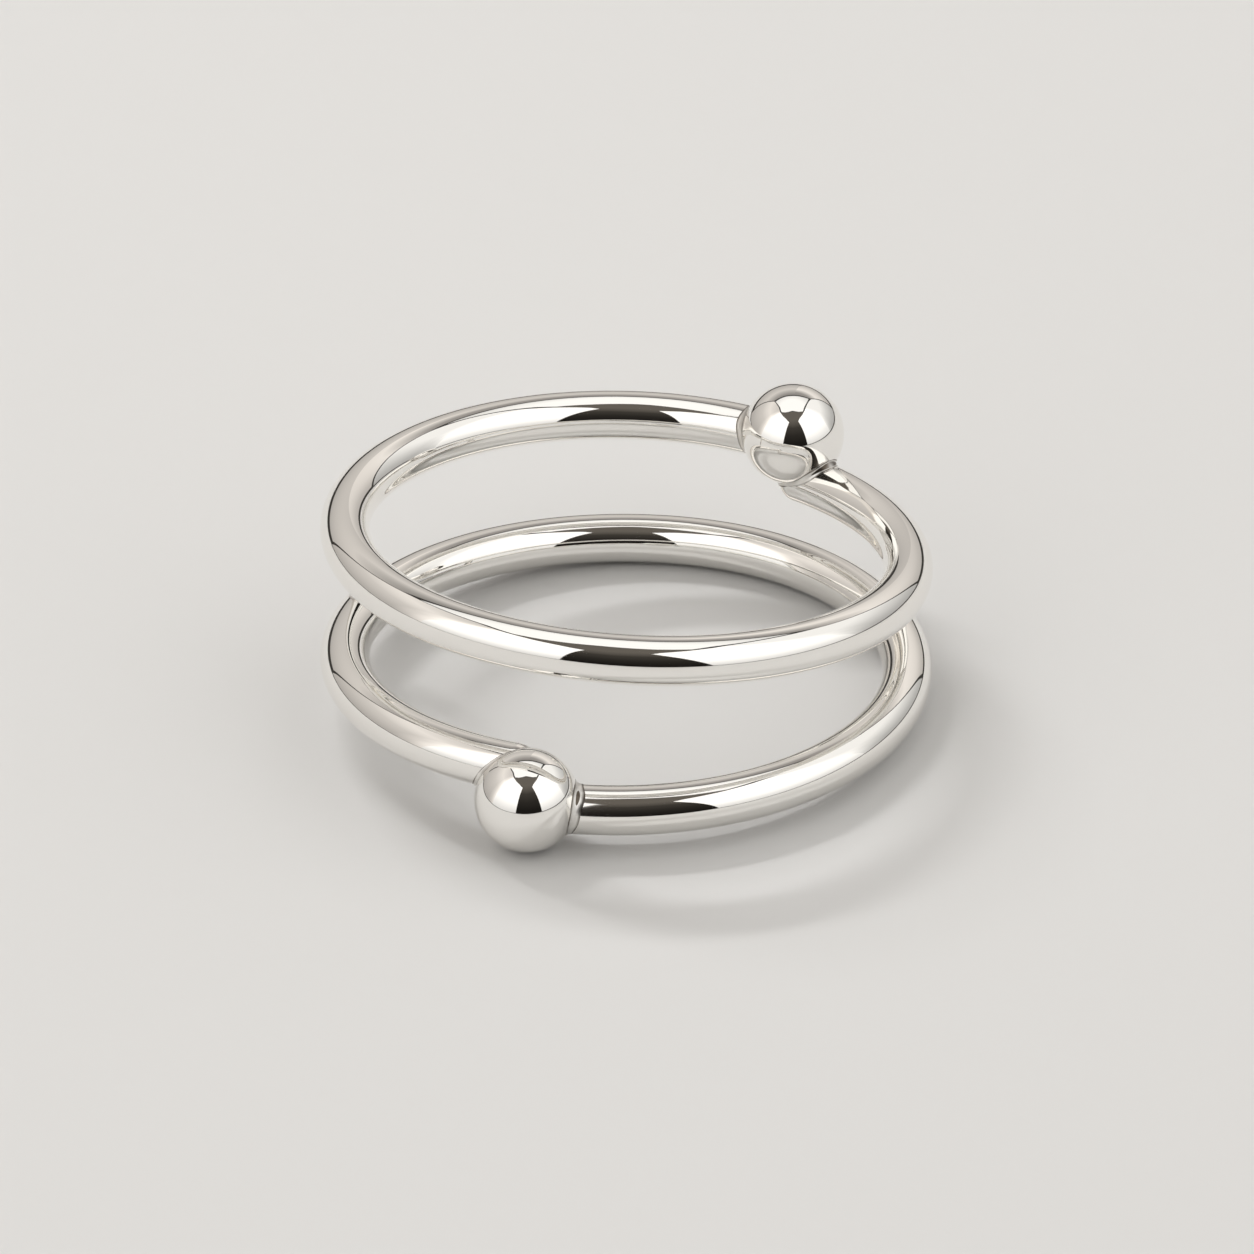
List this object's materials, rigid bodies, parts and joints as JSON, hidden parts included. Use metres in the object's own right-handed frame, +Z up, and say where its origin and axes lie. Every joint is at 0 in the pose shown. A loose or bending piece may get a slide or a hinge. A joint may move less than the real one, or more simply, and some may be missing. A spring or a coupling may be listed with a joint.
{
  "type": "finger ring of twin wire turns",
  "caption": "Slim polished silver finger ring of round wire turns set one above the other, each closed by a small ball, joined by short posts.",
  "frame": {"origin": "on the surface that the ring lies on, straight under the middle of its box", "axes": "+Z up through the finger hole; the ring lies on its lower ball and on the wire across from it; the lower ball is towards -Y and a little -X, the upper ball towards +X and +Y; +Y is the way that the picture looks"},
  "size_m": [0.0207, 0.0215, 0.0081],
  "materials": {
    "silver": "mirror-polished sterling silver"
  },
  "bodies": {
    "root": {"ring": "silver"}
  },
  "joints": []
}
